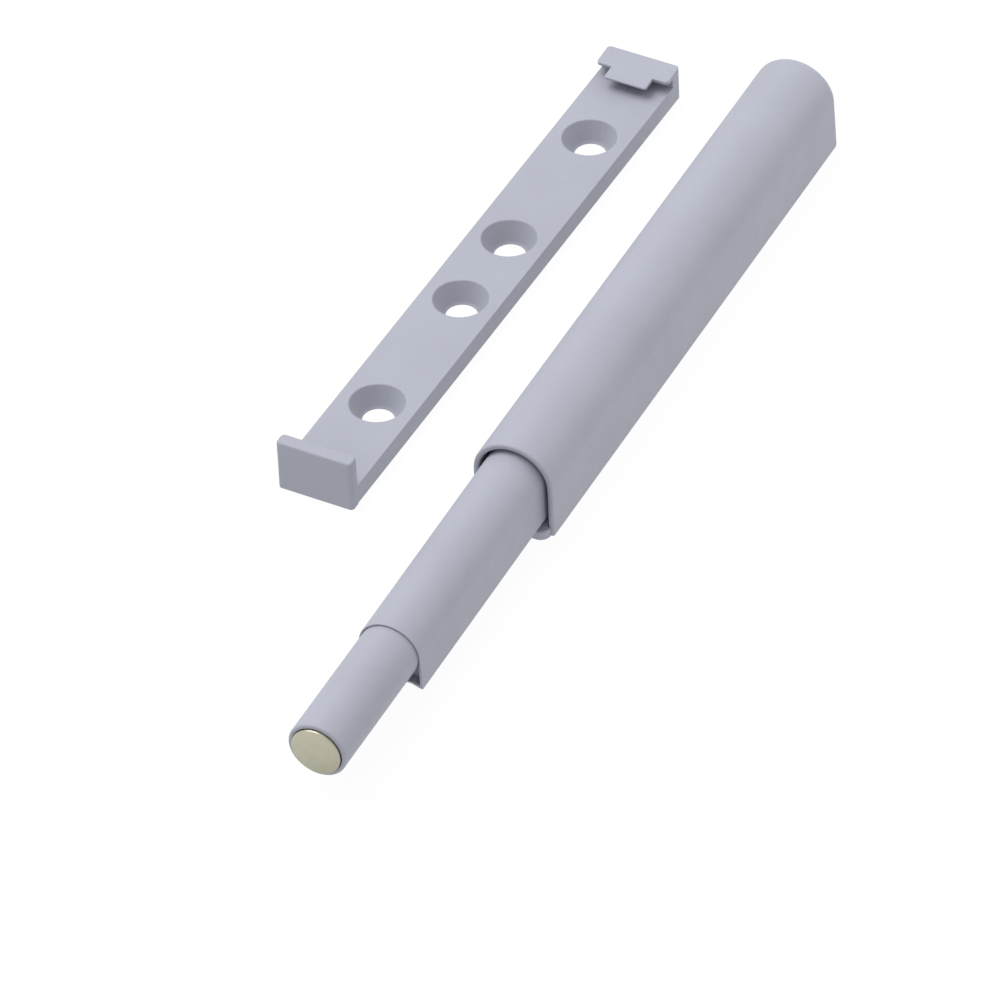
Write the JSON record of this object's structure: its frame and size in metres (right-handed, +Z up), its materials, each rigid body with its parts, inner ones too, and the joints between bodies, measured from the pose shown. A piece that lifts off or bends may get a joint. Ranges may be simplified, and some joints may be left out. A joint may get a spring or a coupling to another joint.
{
  "type": "push to open catch",
  "caption": "Long-stroke push to open catch: tombstone-section housing, telescopic sleeve and magnet-tipped plunger, with a clip-on screw-fixed mounting plate.",
  "frame": {"origin": "on the housing's flat base, midway between its sides, 40 mm behind its mouth", "axes": "+X along the catch, the way the plunger pops out; +Y across it, away from the mounting plate; +Z up from the base"},
  "size_m": [0.1327, 0.0341, 0.0122],
  "materials": {
    "moulding": "satin grey moulded acetal",
    "nickel": "nickel plate",
    "steel": "bright drawn steel",
    "spring_steel": "spring steel"
  },
  "bodies": {
    "housing_body": {"housing": "moulding", "base_cover": "moulding", "rear_block": "moulding", "guide_rod": "steel", "main_spring": "spring_steel", "hold_down_leaf": "spring_steel", "mounting_plate": "moulding"},
    "sleeve_body": {"sleeve": "moulding"},
    "plunger_body": {"plunger": "moulding", "magnet": "nickel"},
    "wire_body": {"latch_wire": "spring_steel"}
  },
  "joints": [
    {"name": "sleeve_slide", "type": "slide", "parent": "housing_body", "child": "sleeve_body", "axis": [1, 0, 0], "range_m": [-0.0325, 0], "stiffness_N_per_m": 60, "springref_m": 0.05, "deforming": ["main_spring"]},
    {"name": "plunger_slide", "type": "slide", "parent": "sleeve_body", "child": "plunger_body", "axis": [1, 0, 0], "range_m": [-0.019, 0], "stiffness_N_per_m": 60, "springref_m": 0.05, "deforming": ["main_spring"]},
    {"name": "wire_swing", "type": "hinge", "parent": "housing_body", "child": "wire_body", "pos_m": [-0.0365, 0, 0.0032], "axis": [0, 0, 1], "range_deg": [-12, 12]}
  ]
}
